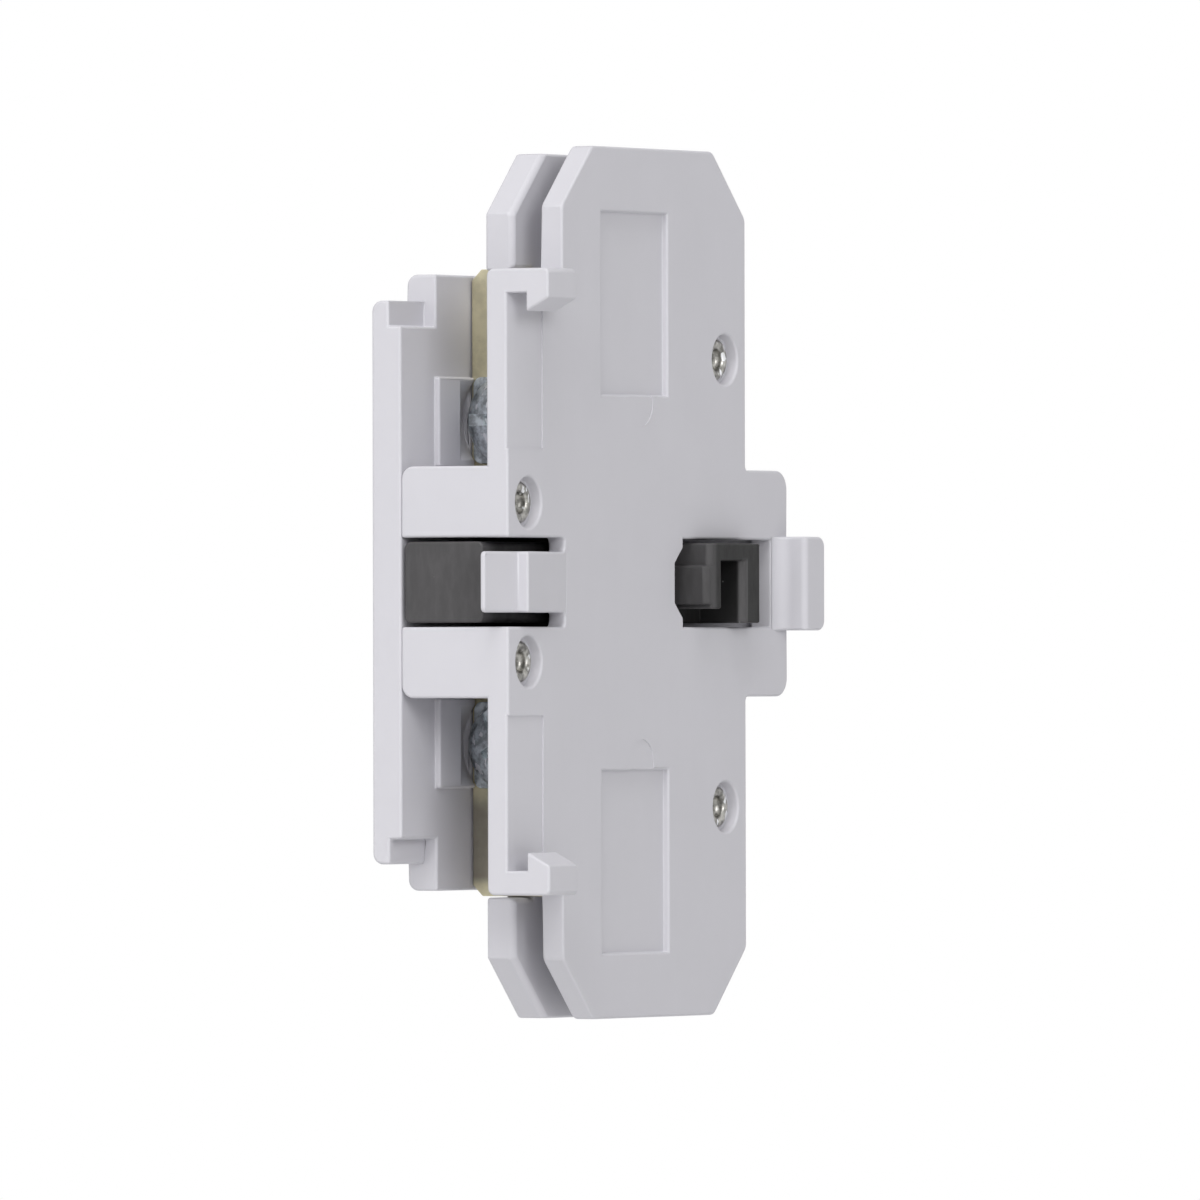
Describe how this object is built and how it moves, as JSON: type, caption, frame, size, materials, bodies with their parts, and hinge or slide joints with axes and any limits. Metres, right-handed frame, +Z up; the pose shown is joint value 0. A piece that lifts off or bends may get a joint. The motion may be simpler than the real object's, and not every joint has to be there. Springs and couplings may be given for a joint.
{
  "type": "auxiliary contact block",
  "caption": "Slim side-mounting auxiliary contact block with an octagonal cover plate, hooks, spring tongue, drive fork in a window and screw terminals in open bays.",
  "frame": {"origin": "middle of the mounting face's front edge: X = 0 is the cover's face that lies against the contactor, Y = 0 the front edge and Z = 0 mid-height", "axes": "+X out of the mounting face towards the contactor, +Y towards the rear, +Z up"},
  "size_m": [0.0188, 0.0569, 0.0806],
  "materials": {
    "housing_grey": "fine satin moulding",
    "slider_black": "satin, lightly scuffed",
    "contact_brass": "stamped strip",
    "zinc_steel": "zinc plated, slightly blue",
    "rivet_nickel": "bright nickel",
    "contact_silver": "satin silver",
    "spring_steel": "drawn wire"
  },
  "bodies": {
    "housing": {"base_shell": "housing_grey", "cover_shell": "housing_grey", "terminal_upper": "contact_brass", "terminal_lower": "contact_brass", "terminal_tip_upper": "contact_silver", "terminal_tip_lower": "contact_silver", "rivet_front_upper": "rivet_nickel", "rivet_front_lower": "rivet_nickel", "rivet_rear_upper": "rivet_nickel", "rivet_rear_lower": "rivet_nickel", "return_spring": "spring_steel"},
    "slider": {"slider": "slider_black", "contact_spring": "spring_steel"},
    "bridge": {"contact_bridge": "contact_brass", "bridge_tip_upper": "contact_silver", "bridge_tip_lower": "contact_silver"},
    "clamp_upper": {"clamp_plate_upper": "zinc_steel"},
    "screw_upper": {"terminal_screw_upper": "zinc_steel"},
    "clamp_lower": {"clamp_plate_lower": "zinc_steel"},
    "screw_lower": {"terminal_screw_lower": "zinc_steel"}
  },
  "joints": [
    {"name": "slider_travel", "type": "slide", "parent": "housing", "child": "slider", "axis": [0, 1, 0], "range_m": [0, 0.005], "stiffness_N_per_m": 300, "springref_m": -0.005, "deforming": ["return_spring"]},
    {"name": "bridge_overtravel", "type": "slide", "parent": "slider", "child": "bridge", "axis": [0, 1, 0], "range_m": [-0.0021, 0], "deforming": ["contact_spring"]},
    {"name": "clamp_lift_upper", "type": "slide", "parent": "housing", "child": "clamp_upper", "axis": [0, -1, 0], "range_m": [0, 0.0028]},
    {"name": "screw_turn_upper", "type": "hinge", "parent": "clamp_upper", "child": "screw_upper", "pos_m": [-0.0066, 0.0118, 0.015], "axis": [0, -1, 0], "range_deg": [0, 1441]},
    {"name": "clamp_lift_lower", "type": "slide", "parent": "housing", "child": "clamp_lower", "axis": [0, -1, 0], "range_m": [0, 0.0028]},
    {"name": "screw_turn_lower", "type": "hinge", "parent": "clamp_lower", "child": "screw_lower", "pos_m": [-0.0066, 0.0118, -0.015], "axis": [0, -1, 0], "range_deg": [0, 1441]}
  ],
  "couplings": [
    {"joint": "bridge_overtravel", "follows": "slider_travel", "ratio": -0.41},
    {"joint": "screw_turn_upper", "follows": "clamp_lift_upper", "rad_per_m": 8976},
    {"joint": "screw_turn_lower", "follows": "clamp_lift_lower", "rad_per_m": 8976}
  ]
}
